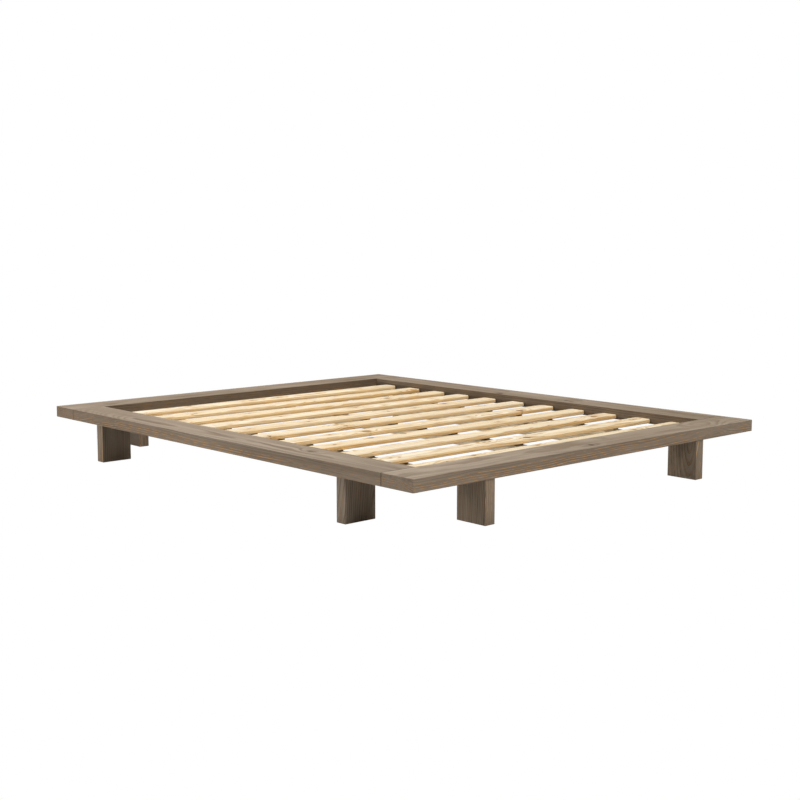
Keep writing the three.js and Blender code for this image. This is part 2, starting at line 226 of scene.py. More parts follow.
# How much each thing shows in the colour.
NEAR_KNOT_CONTRAST = 0.9
HALO_DEPTH = 0.5
RIM_DEPTH = 0.85
END_TONE = 0.85
SEAM_TONE = 0.5
SEAM_WIDTH = 4 * MM
NO_SIDE_SHADING = (1, 1, 1)


def axis_way(letter):
    return Vector([1.0 if axis == letter else 0.0 for axis in "XYZ"])


def board_axes(grain, flat):
    """The turn that takes the row frame to the board's own axes; flat is its thin direction."""
    turn = ALONG[grain]
    if abs((turn @ axis_way(flat)).y) > 0.5:
        turn = QUARTER_TURN @ turn
    return turn


def half_sizes(node, grain, flat):
    """Half of the board's length, width and thickness."""
    low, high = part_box(node)
    size = dict(zip("XYZ", high - low))
    across = next(axis for axis in "XYZ" if axis not in (grain, flat))
    return size[grain] / 2, size[across] / 2, size[flat] / 2


def board_place(build, node, grain, flat, tilt):
    """The shaded point in the board's own axes, measured from the board's middle."""
    low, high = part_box(node)
    lean = Euler((0, math.radians(tilt[1]), math.radians(tilt[0]))).to_matrix()
    turn = lean @ board_axes(grain, flat)
    place = build.node("ShaderNodeTexCoord").outputs["Object"]
    return build.node(
        "ShaderNodeMapping",
        {"Vector": place, "Location": -(turn @ ((low + high) / 2)), "Rotation": turn.to_euler()},
    ).outputs[0]


def knots_in(build, axes, shifted, seed, share, cells, reach):
    """The cores, rims and halos of the knots, and how far they push the rings out.

    Knots run through the board, so they are places on its wide face. share is the share of
    places that hold a knot, cells the places in a metre along and across, and reach how far
    from the board's middle line a knot can be.
    """
    along, across, _ = axes
    start_along, start_across = (seed * step for step in KNOT_STEPS)
    spot = build.join(
        build.math("MULTIPLY_ADD", along, cells[0], start_along),
        build.math("MULTIPLY_ADD", across, cells[1], start_across),
    )
    nearest = build.node(
        "ShaderNodeTexVoronoi",
        {"Vector": spot, "Scale": 1.0, "Randomness": 0.9},
        voronoi_dimensions="2D",
    ).outputs
    chance, size, _ = build.split(nearest["Color"])
    _, middle, _ = build.split(nearest["Position"])
    middle = build.math("DIVIDE", build.math("SUBTRACT", middle, start_across), cells[1])
    present = build.math(
        "MULTIPLY",
        build.math("LESS_THAN", chance, share),
        build.math("LESS_THAN", build.math("ABSOLUTE", middle), reach),
    )

    off_along, off_across, _ = build.split(build.vector("SUBTRACT", spot, nearest["Position"]))
    off_along = build.math("MULTIPLY", off_along, 1 / cells[0])
    off_across = build.math("MULTIPLY", off_across, 1 / cells[1])
    ragged, _ = build.scaled_noise(shifted, *RAGGED)
    ragged = build.remap(ragged, 0.3, 0.7, -KNOT_RAGGED, KNOT_RAGGED, smooth=False)
    round_off = build.vector("LENGTH", build.join(off_along, off_across))
    round_off = build.math("ADD", round_off, ragged)
    squeezed = build.join(build.math("MULTIPLY", off_along, KNOT_STRETCH), off_across)
    long_off = build.vector("LENGTH", squeezed)

    def where_present(mask):
        return build.math("MULTIPLY", mask, present)

    size = build.math("MULTIPLY_ADD", build.math("MULTIPLY", size, size), KNOT_RANGE, KNOT_LEAST)
    shares_off = build.math("DIVIDE", round_off, size)
    core = where_present(build.remap(shares_off, *KNOT_CORE, 1.0, 0.0))
    rim = where_present(build.remap(shares_off, *KNOT_RIM, 1.0, 0.0))
    halo = where_present(build.remap(long_off, 0.0, HALO_REACH, 1.0, 0.0))
    swell = where_present(build.remap(long_off, 0.0, SWELL_REACH, SWELL_HEIGHT, 0.0))
    rings = build.math("SINE", build.math("MULTIPLY", round_off, KNOT_RINGS))
    core = build.math("MULTIPLY", core, build.remap(rings, -1.0, 1.0, 0.55, 1.0))
    return core, rim, halo, swell


def rings_in(build, axes, shifted, seed, pith, ring, sway, swell, bow, eye):
    """The late wood of each year, its hard crest line, and how bold each year is."""
    along, across, through = axes
    half = (0.5, 0.5, 0.5)
    _, slow = build.scaled_noise(shifted, *SLOW_SWAY)
    _, quick = build.scaled_noise(shifted, *QUICK_SWAY)
    slow = build.vector("MULTIPLY", build.vector("SUBTRACT", slow, half), (sway,) * 3)
    quick = build.vector(
        "MULTIPLY", build.vector("SUBTRACT", quick, half), (sway / QUICK_PART,) * 3
    )
    from_pith = build.join(
        0.0, build.math("ADD", across, -pith[0]), build.math("ADD", through, -pith[1])
    )
    from_pith = build.vector("ADD", build.vector("ADD", from_pith, slow), quick)
    from_pith = build.vector("MULTIPLY", from_pith, (0.0, 1.0, 1.0))
    radius = build.math("ADD", build.vector("LENGTH", from_pith), swell)
    if bow:
        start, slope = bow
        past = build.math("MAXIMUM", build.math("SUBTRACT", along, start), 0.0)
        radius = build.math("ADD", radius, build.math("MULTIPLY", past, slope))
    if eye:
        middle, half_length, height = eye
        away = build.math("DIVIDE", build.math("SUBTRACT", along, middle), half_length)
        fading = build.math("MULTIPLY", build.math("MULTIPLY", away, away), -1.0)
        bulge = build.math("POWER", math.e, fading)
        radius = build.math("ADD", radius, build.math("MULTIPLY", bulge, height))

    uneven, _ = build.scaled_noise(build.join(radius, seed * 2.0, 0.0), (60, 1, 1), 1)
    uneven = build.math("MULTIPLY", uneven, UNEVEN_YEARS)
    years = build.math("ADD", build.math("DIVIDE", radius, ring), uneven)
    year = build.math("FRACT", years)
    rise = build.math("POWER", build.remap(year, *LATE_RISE), LATE_POWER)
    late = build.math("MULTIPLY", rise, build.remap(year, *LATE_FALL, 1.0, 0.0))
    line = build.math(
        "MULTIPLY", build.remap(year, *LINE_RISE), build.remap(year, *LINE_FALL, 1.0, 0.0)
    )
    each_year = build.join(build.math("FLOOR", years), seed * 4.0, 0.5)
    bold, _ = build.scaled_noise(each_year, (0.83, 1, 1), 0)
    return late, line, bold


def wood(
    name, node, grain, flat, palette, seed, pith, ring, tilt, knots, glow, contrast,
    sway=0.03, knot_margin=0.0, knot_cells=(2.6, 9.0), outward=None, painted_side_shading=NO_SIDE_SHADING,
    painted_low_shading=None, inner_glow=0.3, glow_top=0.5, seam=False, bow=None, eye=None,
):
    """Wood for one board.

    pith is the place of the pith off the board's middle, (across, through), ring the width of a
    year's growth, tilt the angle of the pith to the board, (across, through) in degrees, knots
    the share of places that hold a knot, glow how strongly the hard latewood shines through a
    stain on the narrow faces and on the wide ones, contrast the depth of the grain on all faces,
    sway how far the rings wander, knot_margin how far knots keep from the board's edges, and
    knot_cells the places for a knot in a metre, along and across.
    outward is the way the board's outer narrow face looks: the glow keeps to that face and the
    ends, with inner_glow of it on the inner face, and fades near the height glow_top, in half
    thicknesses; the glow's strength there and its fading on the inner face and the top band are
    painted light and shade, while the latewood lines are the wood's own. The side colour is
    painted light and shade on the inner face, or on both narrow faces without outward, and the
    low side colour painted shade towards their lower edge. A seam darkens the last millimetres
    of a board that butts against another. bow is the place along the board, and the slope, from
    which the rings dive and leave arcs on the wide face; eye is the place, half length and height
    of a swelling.
    """
    material, build, shader = new_material(name)
    half_long, half_across, half_thick = half_sizes(node, grain, flat)
    place = board_place(build, node, grain, flat, tilt)
    shifted = build.vector("ADD", place, tuple(seed * step for step in SEED_STEPS))
    axes = build.split(place)
    along, _, through = axes
    core, rim, halo, swell = knots_in(
        build, axes, shifted, seed, knots, knot_cells, half_across - knot_margin
    )
    late, line, bold = rings_in(build, axes, shifted, seed, pith, ring, sway, swell, bow, eye)

    # How squarely the face cuts the fibres and the rings.
    normal = build.node("ShaderNodeTexCoord").outputs["Normal"]
    end_face = build.math("ABSOLUTE", build.vector("DOT_PRODUCT", normal, axis_way(grain)))
    end_face = build.remap(end_face, 0.6, 0.9)
    narrow_face = build.math("ABSOLUTE", build.vector("DOT_PRODUCT", normal, axis_way(flat)))
    narrow_face = build.remap(narrow_face, 0.5, 0.85, 1.0, 0.0)
    glow_face = narrow_face
    painted_side_mask = narrow_face
    # Painted light and shade: the glow is strong on the outer face and its lower part, and weak on
    # the inner face and near the top; the latewood lines are the wood's own.
    if outward:
        inward = build.math("MULTIPLY", build.vector("DOT_PRODUCT", normal, outward), -1.0)
        painted_side_mask = build.remap(inward, 0.5, 0.85)
        without = build.math("MULTIPLY", painted_side_mask, 1 - inner_glow)
        glow_face = build.math("SUBTRACT", narrow_face, without, clamp=True)
        glow_dimmed_at_top = build.remap(
            through, (glow_top - 0.35) * half_thick, glow_top * half_thick, 1.0, 0.25
        )
        glow_face = build.math("MULTIPLY", glow_face, glow_dimmed_at_top)

    # Broad changes of tone, late wood, and the glow of its crest.
    fibre, _ = build.scaled_noise(shifted, *FIBRE)
    streak, _ = build.scaled_noise(shifted, *STREAK)
    cloud, _ = build.scaled_noise(shifted, *CLOUD)
    patch, _ = build.scaled_noise(shifted, *PATCH)
    dash, _ = build.scaled_noise(shifted, *DASH)
    tone = build.math("MULTIPLY", build.remap(cloud, 0.3, 0.7), 0.55)
    tone = build.math("ADD", tone, build.math("MULTIPLY", build.remap(streak, 0.35, 0.7), 0.45))
    colour = build.blend(tone, palette["early"], palette["deep"])
    depth = build.math("MULTIPLY_ADD", halo, NEAR_KNOT_CONTRAST, contrast)
    depth = build.math("MULTIPLY", late, depth, clamp=True)
    depth = build.math("MULTIPLY", depth, build.remap(patch, 0.25, 0.6, 0.45, 1.0))
    colour = build.blend(depth, colour, palette["late"])
    shine = build.math("MULTIPLY", line, build.remap(streak, 0.36, 0.58, 0.3, 1.0))
    shine = build.math("MULTIPLY", shine, build.remap(dash, 0.38, 0.6, 0.35, 1.15))
    shine = build.math("MULTIPLY", shine, build.remap(bold, 0.3, 0.55, 0.45, 1.5))
    share = build.math("ADD", build.math("MULTIPLY", glow_face, glow[0]), glow[1])
    shine = build.math("MULTIPLY", shine, share, clamp=True)
    colour = build.blend(shine, colour, palette["glow"])
    colour = build.shade(colour, build.remap(fibre, 0.3, 0.72, 0.9, 1.06, smooth=False))

    # Knots, ends, seams, and the painted light and shade of the side colours.
    colour = build.blend(build.math("MULTIPLY", halo, HALO_DEPTH), colour, palette["late"])
    colour = build.blend(build.math("MULTIPLY", rim, RIM_DEPTH), colour, palette["knot_rim"])
    colour = build.blend(core, colour, palette["knot"])
    end_tone = build.remap(end_face, 0.0, 1.0, 1.0, END_TONE, smooth=False)
    if seam:
        from_middle = build.math("ABSOLUTE", along)
        joint = build.remap(
            from_middle, half_long - SEAM_WIDTH, half_long - SEAM_WIDTH / 2, 1.0, SEAM_TONE
        )
        end_tone = build.math("MULTIPLY", end_tone, joint)
    colour = build.shade(colour, end_tone)
    # Painted light and shade: the side colour darkens the rails' inner faces and lightens the
    # slats' sides and some legs' narrow faces; the low side colour darkens the lower edge.
    if painted_side_shading != NO_SIDE_SHADING:
        painted_side_colour = (*painted_side_shading, 1)
        if painted_low_shading:
            up = build.remap(through, -0.75 * half_thick, 0.25 * half_thick)
            painted_side_colour = build.blend(up, (*painted_low_shading, 1), painted_side_colour)
        colour = build.blend(painted_side_mask, colour, build.blend(1.0, colour, painted_side_colour, "MULTIPLY"))

    height = build.math("MULTIPLY", late, 0.5)
    height = build.math("ADD", height, build.math("MULTIPLY", fibre, 0.5))
    bump = {"Strength": 0.35, "Distance": 0.35 * MM, "Height": height}
    build.feed(shader.inputs["Normal"], build.node("ShaderNodeBump", bump).outputs[0])
    build.feed(shader.inputs["Base Color"], colour)
    rough = build.remap(late, 0.0, 1.0, 0.68, 0.52, smooth=False)
    build.feed(shader.inputs["Roughness"], rough)
    shader.inputs["Specular IOR Level"].default_value = 0.28
    return material


# ---------------------------------------------------------------- metal
def zinc(name):
    """Bright zinc plate: faint blue, spangled, a little uneven in its shine."""
    material, build, shader = new_material(name)
    place = build.node("ShaderNodeTexCoord").outputs["Object"]
    spangle = build.node("ShaderNodeTexVoronoi", {"Vector": place, "Scale": 260.0})
    shade, _, _ = build.split(spangle.outputs["Color"])
    smear, _ = build.scaled_noise(place, (70, 70, 70), 4)
    dull = linear(158, 161, 165)
    bright = linear(206, 209, 212)
    spangled = build.math("MULTIPLY", shade, 0.35)
    mixed = build.math("ADD", spangled, build.math("MULTIPLY", smear, 0.65))
    build.feed(shader.inputs["Base Color"], build.blend(mixed, dull, bright))
    build.feed(shader.inputs["Roughness"], build.remap(smear, 0.3, 0.7, 0.26, 0.44))
    shader.inputs["Metallic"].default_value = 1.0
    bump = {"Strength": 0.12, "Distance": 0.1 * MM, "Height": smear}
    build.feed(shader.inputs["Normal"], build.node("ShaderNodeBump", bump).outputs[0])
    return material


# ---------------------------------------------------------------- pieces
def add_object(name, bm, material, smooth_angle=35):
    mesh = bpy.data.meshes.new(name)
    bm.to_mesh(mesh)
    bm.free()
    mesh.shade_smooth()
    mesh.set_sharp_from_angle(angle=math.radians(smooth_angle))
    mesh.materials.append(material)
    piece = bpy.data.objects.new(name, mesh)
    bpy.context.scene.collection.objects.link(piece)
    return piece


def stand_for(piece, node):
    """The piece takes the place of a CAD node, which it hides."""
    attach(piece, BODY)
    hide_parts(node)


WELD = 0.01 * MM
FLAT_ANGLE = math.radians(0.5)
SHARP_ANGLE = math.radians(40)
NEAR_OUTSIDE = 2.5 * MM


def eased_copy(name, node, ease, material):
    """The node's own shape with the long sharp edges of its outside eased to a radius."""
    low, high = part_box(node)
    bm = bmesh.new()
    bm.from_mesh(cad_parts[node].data)
    bmesh.ops.remove_doubles(bm, verts=bm.verts, dist=WELD)
    bmesh.ops.dissolve_limit(bm, angle_limit=FLAT_ANGLE, verts=bm.verts, edges=bm.edges)

    def on_outside(edge):
        if len(edge.link_faces) != 2 or edge.calc_face_angle(0) < SHARP_ANGLE:
            return False
        middle = (edge.verts[0].co + edge.verts[1].co) / 2
        gaps = [min(middle[i] - low[i], high[i] - middle[i]) for i in range(3)]
        return sum(gap < NEAR_OUTSIDE for gap in gaps) >= 2

    edges = [edge for edge in bm.edges if on_outside(edge)]
    bmesh.ops.bevel(
        bm,
        geom=edges,
        offset=ease,
        offset_type="OFFSET",
        segments=3,
        profile=0.5,
        affect="EDGES",
        clamp_overlap=True,
    )
    piece = add_object(name, bm, material)
    weighted = piece.modifiers.new("weighted", "WEIGHTED_NORMAL")
    weighted.keep_sharp = True
    return piece


SLAT_EDGE = 6 * MM  # radius of the long edges
SLAT_END = 2.5 * MM  # radius of the end edges
SLAT_CORNER = 13 * MM  # radius of the corners, seen from above
SLAT_CORNER_STEPS = 8
SLAT_STEP = 30 * MM
SLAT_WANDER = 0.9 * MM
WANDER_LUMPS = 2.3  # in a metre
WANDER_SEED_STEP = 5.1
WANDER_SIDES = (0.2, 7.4, 15.9)  # places in the noise for the two edges and the faces


def slat_outline(half_width, half_height, radius, steps=5):
    """A rectangle with round corners, as points (across, up)."""
    points = []
    for corner, (side, up) in enumerate(((1, 1), (-1, 1), (-1, -1), (1, -1))):
        for step in range(steps + 1):
            turn = math.radians(90 * (corner + step / steps))
            points.append((
                side * (half_width - radius) + radius * math.cos(turn),
                up * (half_height - radius) + radius * math.sin(turn),
            ))
    return points


def slat(name, node, seed, material):
    """A planed slat with round edges, corners and ends; its sides wander a little."""
    low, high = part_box(node)
    middle = (low + high) / 2
    half = (high - low) / 2
    turns = [math.radians(90 * step / SLAT_CORNER_STEPS) for step in range(SLAT_CORNER_STEPS + 1)]
    ends = [SLAT_CORNER * (1 - math.cos(turn)) for turn in turns]
    straight = 2 * (half.x - SLAT_CORNER)
    count = round(straight / SLAT_STEP)
    inner = [-straight / 2 + straight * i / count for i in range(1, count)]
    places = [-half.x + end for end in ends] + inner + [half.x - end for end in reversed(ends)]

    bm = bmesh.new()
    loops = []
    for x in places:
        inset, corner_inset = (
            radius - math.sqrt(max(radius**2 - max(radius - half.x + abs(x), 0) ** 2, 0))
            for radius in (SLAT_END, SLAT_CORNER)
        )
        spots = [Vector((x * WANDER_LUMPS, seed * WANDER_SEED_STEP, side)) for side in WANDER_SIDES]
        trims = [SLAT_WANDER * (0.5 + 0.5 * noise.noise(spot)) for spot in spots]
        half_width = half.y - corner_inset - (trims[0] + trims[1]) / 2
        half_height = half.z - inset - trims[2] * 0.25
        drift = (trims[0] - trims[1]) / 2
        radius = max(SLAT_EDGE - inset, SLAT_EDGE / 3)
        loops.append([
            bm.verts.new((middle.x + x, middle.y + drift + across, middle.z + up))
            for across, up in slat_outline(half_width, half_height, radius)
        ])
    for first, second in zip(loops, loops[1:]):
        for i in range(len(first)):
            j = (i + 1) % len(first)
            bm.faces.new((first[i], first[j], second[j], second[i]))
    bm.faces.new(reversed(loops[0]))
    bm.faces.new(loops[-1])
    bmesh.ops.recalc_face_normals(bm, faces=bm.faces)
    return add_object(name, bm, material, 50)


def lathe(bm, profile, place, sides):
    """A closed turned solid: profile is (radius, height) points from axis to axis.

    A third value in a point gives its ring six lobes, this share of the radius deep.
    """
    rings = []
    for radius, height, *lobes in profile:
        if radius == 0:
            rings.append([bm.verts.new(place + Vector((0, 0, height)))])
            continue
        ring = []
        for i in range(sides):
            turn = 2 * math.pi * i / sides
            reach = radius * (1 + sum(lobes) * math.cos(6 * turn))
            ring.append(bm.verts.new(
                place + Vector((reach * math.cos(turn), reach * math.sin(turn), height))
            ))
        rings.append(ring)
    for first, second in zip(rings, rings[1:]):
        for i in range(sides):
            j = (i + 1) % sides
            corners = [first[i % len(first)], first[j % len(first)]]
            corners += [second[j % len(second)], second[i % len(second)]]
            unique = list(dict.fromkeys(corners))
            if len(unique) >= 3:
                bm.faces.new(unique)


# Radii, and heights from the face under the head.
SCREW_HEAD = 4.2 * MM
SCREW_CROWN = 2.3 * MM  # height of the head
SCREW_CROWN_FLAT = 0.62 * SCREW_HEAD
SCREW_SOCKET = 1.9 * MM
SCREW_SOCKET_FLOOR = 0.8 * SCREW_SOCKET
SCREW_SOCKET_DEPTH = 1.3 * MM
SOCKET_LOBES = 0.16
SCREW_SEAT = 0.02 * MM
SCREW_SHANK = 1.9 * MM
SCREW_LENGTH = 28 * MM
SCREW_PLAIN = 2 * MM  # at each end of the thread
THREAD_PITCH = 1.8 * MM
THREAD_DEPTH = 0.35 * MM
SCREW_SIDES = 24


def screw(bm, x, y, under):
    """A pan-head wood screw driven up, its head against a face at height `under`."""
    profile = [
        (0, SCREW_SOCKET_DEPTH - SCREW_CROWN),
        (SCREW_SOCKET_FLOOR, SCREW_SOCKET_DEPTH - SCREW_CROWN, SOCKET_LOBES),
        (SCREW_SOCKET, -SCREW_CROWN, SOCKET_LOBES),
        (SCREW_CROWN_FLAT, -SCREW_CROWN),
    ]
    for step in range(1, 7):
        turn = math.radians(15 * step)
        profile.append((
            SCREW_CROWN_FLAT + (SCREW_HEAD - SCREW_CROWN_FLAT) * math.sin(turn),
            -SCREW_CROWN * (0.25 + 0.75 * math.cos(turn)),
        ))
    profile.append((SCREW_HEAD, -SCREW_SEAT))
    profile.append((SCREW_SHANK, -SCREW_SEAT))
    for turn in range(int((SCREW_LENGTH - 2 * SCREW_PLAIN) / THREAD_PITCH)):
        height = SCREW_PLAIN + turn * THREAD_PITCH
        profile.append((SCREW_SHANK - THREAD_DEPTH, height))
        profile.append((SCREW_SHANK, height + THREAD_PITCH / 2))
    profile.append((0, SCREW_LENGTH))
    lathe(bm, profile, Vector((x, y, under)), SCREW_SIDES)


def screw_group(name, places, under, material):
    bm = bmesh.new()
    for x, y in places:
        screw(bm, x, y, under)
    bmesh.ops.recalc_face_normals(bm, faces=bm.faces)
    piece = add_object(name, bm, material)
    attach(piece, BODY)


COACH_HEAD = 7.5 * MM  # from the middle to a corner
COACH_HEAD_HEIGHT = 6 * MM
COACH_CHAMFER = 1.1 * MM
COACH_FLANGE = 2 * MM
COACH_SHANK = 4 * MM
COACH_PLAIN = 20 * MM  # the shank below the thread
COACH_PITCH = 3 * MM
COACH_THREAD = 0.7 * MM
COACH_TIP = 4 * MM
COACH_SIDES = 40


def coach_screw(name, node, material):
    """A flanged hexagon coach screw in the pocket of a leg."""
    low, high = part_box(node)
    centre = Vector(((low.x + high.x) / 2, (low.y + high.y) / 2, low.z))
    flange = (high.x - low.x) / 2
    bm = bmesh.new()
    flange_top = COACH_HEAD_HEIGHT + COACH_FLANGE
    profile = [
        (0, COACH_HEAD_HEIGHT),
        (COACH_HEAD * 0.8, COACH_HEAD_HEIGHT),
        (flange - 0.4 * MM, COACH_HEAD_HEIGHT + 0.7 * MM),
        (flange, COACH_HEAD_HEIGHT + 1.3 * MM),
        (flange, flange_top),
        (COACH_SHANK, flange_top),
    ]
    length = high.z - low.z
    height = flange_top + COACH_PLAIN
    while height + COACH_PITCH < length - COACH_TIP:
        profile.append((COACH_SHANK - COACH_THREAD, height))
        profile.append((COACH_SHANK, height + COACH_PITCH / 2))
        height += COACH_PITCH
    profile.append((0, length))
    lathe(bm, profile, centre, COACH_SIDES)
    corners = [math.radians(60 * i) for i in range(6)]
    levels = (
        (COACH_HEAD * 0.86, 0.0),
        (COACH_HEAD, COACH_CHAMFER),
        (COACH_HEAD, COACH_HEAD_HEIGHT),
    )
    rings = [
        [bm.verts.new(centre + Vector((r * math.cos(a), r * math.sin(a), z))) for a in corners]
        for r, z in levels
    ]
    for first, second in zip(rings, rings[1:]):
        for i in range(6):
            j = (i + 1) % 6
            bm.faces.new((first[i], first[j], second[j], second[i]))
    bm.faces.new(reversed(rings[0]))
    bm.faces.new(rings[-1])
    bmesh.ops.recalc_face_normals(bm, faces=bm.faces)
    piece = add_object(name, bm, material)
    stand_for(piece, node)


# ---------------------------------------------------------------- rails
RAILS = {
    "rail_foot": {
        "grain": "X", "seed": 3, "pith": (0.030, -0.300), "ring": 7.8 * MM, "tilt": (0.25, 0.4),
        "sway": 0.05, "contrast": 0.6, "glow": (1.0, 0.06), "glow_top": 0.9,
        "outward": (0, -1, 0), "eye": (0.70, 0.075, -12 * MM),
    },
    "rail_head": {
        "grain": "X", "seed": 8, "pith": (-0.020, -0.105), "ring": 8.0 * MM, "tilt": (0.3, -0.6),
        "sway": 0.026, "contrast": 0.85, "glow": (1.0, 0.06), "inner_glow": 0.8,
        "outward": (0, 1, 0),
    },
    "rail_left": {
        "grain": "Y", "seed": 5, "pith": (0.015, -0.125), "ring": 7.4 * MM, "tilt": (-0.2, 0.4),
        "sway": 0.018, "contrast": 0.85, "glow": (0.75, 0.06), "seam": True,
        "outward": (-1, 0, 0), "bow": (0.6, 0.16),
    },
    "rail_right": {
        "grain": "Y", "seed": 11, "pith": (-0.030, -0.110), "ring": 8.0 * MM, "tilt": (0.2, 0.7),
        "sway": 0.026, "contrast": 0.8, "glow": (0.9, 0.06), "seam": True,
        # Painted shade: the right rail's inner face is darker towards its lower edge, beside the
        # slats' ends.
        "outward": (1, 0, 0), "painted_low_shading": (0.36, 0.33, 0.30),
    },
}
RAIL_EASE = 1.6 * MM
RAIL_KNOTS = 0.16
RAIL_KNOT_MARGIN = 25 * MM
# Painted shade: the rails' inner faces are darker than their other faces.
INNER_FACE_SHADE = (0.68, 0.64, 0.59)


def make_rails():
    for node, board in RAILS.items():
        material = wood(
            node + "_stain", node, flat="Z", palette=STAINED, knots=RAIL_KNOTS,
            knot_margin=RAIL_KNOT_MARGIN, painted_side_shading=INNER_FACE_SHADE, **board,
        )
        stand_for(eased_copy(node + "_board", node, RAIL_EASE, material), node)


# ---------------------------------------------------------------- legs
# For each leg: thin direction, seed, pith (across, through), ring width, tilt, and how light the
# board and its narrow faces are beside the others; these last two are painted light and shade.
LEGS = {
    "foot_left": ("X", 2, (-0.09, 0.05), 7.0 * MM, (2.0, 1.0), 1.14, 1),
    "foot_right": ("X", 6, (-0.034, 0.045), 13.0 * MM, (1.0, -15.0), 0.95, 1.2),
    "head_left": ("X", 9, (0.05, 0.06), 6.5 * MM, (1.5, 3.0), 1, 1),
    "head_right": ("X", 12, (0.02, -0.06), 6.5 * MM, (-1.0, 4.0), 1, 1),
    "left_foot": ("Y", 4, (-0.062, 0.05), 8.5 * MM, (4.0, 3.0), 0.94, 1),
    "left_head": ("Y", 7, (0.10, 0.05), 6.0 * MM, (1.0, 1.0), 0.76, 1.5),
    "right_foot": ("Y", 13, (-0.04, 0.06), 6.5 * MM, (-2.0, 3.0), 1, 1),
    "right_head": ("Y", 15, (0.03, -0.05), 7.0 * MM, (2.0, -4.0), 1, 1),
}
LEG_STAIN = dict(STAINED, late=linear(86, 72, 57))
LEG_EASE = 1.8 * MM


def make_legs(metal):
    for leg, (flat, seed, pith, ring, tilt, painted_lighting, painted_edge_lighting) in LEGS.items():
        node = "leg_" + leg
        stain = {
            key: (red * painted_lighting, green * painted_lighting, blue * painted_lighting, 1)
            for key, (red, green, blue, _) in LEG_STAIN.items()
        }
        material = wood(
            node + "_stain", node, "Z", flat, stain, seed, pith, ring, tilt,
            knots=0.0, glow=(0.6, 0.2), contrast=0.85, painted_side_shading=(painted_edge_lighting,) * 3,
        )
        stand_for(eased_copy(node + "_board", node, LEG_EASE, material), node)
        coach_screw("coach_screw_" + leg, "leg_screw_" + leg, metal)


# ---------------------------------------------------------------- slats
SLAT_COUNT = 11
SLAT_SEED = 41
# Painted light on the slats' sides, and painted shade that makes them darker and more golden
# towards their lower edge.
SLAT_SIDE_LIGHT = (1.42, 1.24, 0.96)
SLAT_SIDE_LOW_SHADE = (1.3, 1.02, 0.64)
SLAT_KNOT_MARGIN = 9 * MM
SLAT_KNOT_CELLS = (5.5, 12.0)


def make_slats():
    draw = random.Random(SLAT_SEED)
    for index in range(1, SLAT_COUNT + 1):
        node = f"slat_{index:02d}"
        pith = (draw.uniform(-0.05, 0.05), draw.choice((-1, 1)) * draw.uniform(0.03, 0.09))
        tilt = (draw.uniform(-0.6, 0.6), draw.uniform(-1.2, 1.2))
        ring = draw.uniform(4.0, 6.5) * MM
        warmth = draw.uniform(0.0, 0.35)
        early = tuple(a + (b - a) * warmth for a, b in zip(BARE["early"], BARE["deep"]))
        palette = dict(BARE, early=early)
        material = wood(
            node + "_pine", node, "X", "Z", palette, index + 20, pith, ring, tilt,
            knots=draw.uniform(0.5, 0.85), glow=(0.25, 0.1), contrast=0.74, sway=0.05,
            knot_margin=SLAT_KNOT_MARGIN, knot_cells=SLAT_KNOT_CELLS,
            painted_side_shading=SLAT_SIDE_LIGHT, painted_low_shading=SLAT_SIDE_LOW_SHADE,
        )
        stand_for(slat(node + "_board", node, index, material), node)


# ---------------------------------------------------------------- bearers and splice blocks
BEARER_EASE = 1.2 * MM
PAD_HEIGHT = 8 * MM  # what stands above the bearers, up to the slats
PAD_MARGIN = 0.5 * MM


def shade_black(name):
    """Near-black with a faint grey bloom: painted shade for the crevices under the slats."""
    material, build, shader = new_material(name)
    place = build.node("ShaderNodeTexCoord").outputs["Object"]
    bloom, _ = build.scaled_noise(place, (180, 180, 180), 4)
    black = linear(30, 27, 25)
    grey = linear(48, 44, 41)
    colour = build.blend(build.remap(bloom, 0.35, 0.75), black, grey)
    build.feed(shader.inputs["Base Color"], colour)
    build.feed(shader.inputs["Roughness"], build.remap(bloom, 0.3, 0.7, 0.72, 0.9))
    return material


def blacken_pads(piece, node, material):
    """Gives the blocks that stand on a bearer a near-black, painted shade for the crevices under
    the slats.
    """
    piece.data.materials.append(material)
    just_above_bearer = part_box(node)[1].z - PAD_HEIGHT + PAD_MARGIN
    for face in piece.data.polygons:
        if face.center.z > just_above_bearer:
            face.material_index = 1


SIDE_BEARERS = ("bearer_left_foot", "bearer_left_head", "bearer_right_foot", "bearer_right_head")
FLAT_BEARERS = ("bearer_centre", "splice_left", "splice_right")
BEARER_SEED = 50


def make_bearers():
    crevice_shade = shade_black("pad_painted_shade")
    for seed, node in enumerate(SIDE_BEARERS + FLAT_BEARERS, BEARER_SEED):
        flat = "X" if node in SIDE_BEARERS else "Z"
        material = wood(
            node + "_pine", node, "Y", flat, BARE, seed, (0.03, 0.07), 5 * MM, (0.4, 0.9),
            knots=0.3, glow=(0.2, 0.1), contrast=0.6,
        )
        piece = eased_copy(node + "_board", node, BEARER_EASE, material)
        if node.startswith("bearer"):
            blacken_pads(piece, node, crevice_shade)
        stand_for(piece, node)


# ---------------------------------------------------------------- steel and dowels
# Screws stand off the middle of a plate, in from the ends of a hanger, and along a splice.
PLATE_EASE = 0.5 * MM
PLATE_SCREWS = (36 * MM, 30 * MM)
HANGER_EASE = 0.4 * MM
HANGER_SCREWS = 9 * MM
HANGER_SCREW_INSET = 11 * MM
HANGER_STEEL = 2.5 * MM
SPLICE_SCREWS = (-50 * MM, -20 * MM, 20 * MM, 50 * MM)
CORNERS = ("foot_left", "foot_right", "head_left", "head_right")


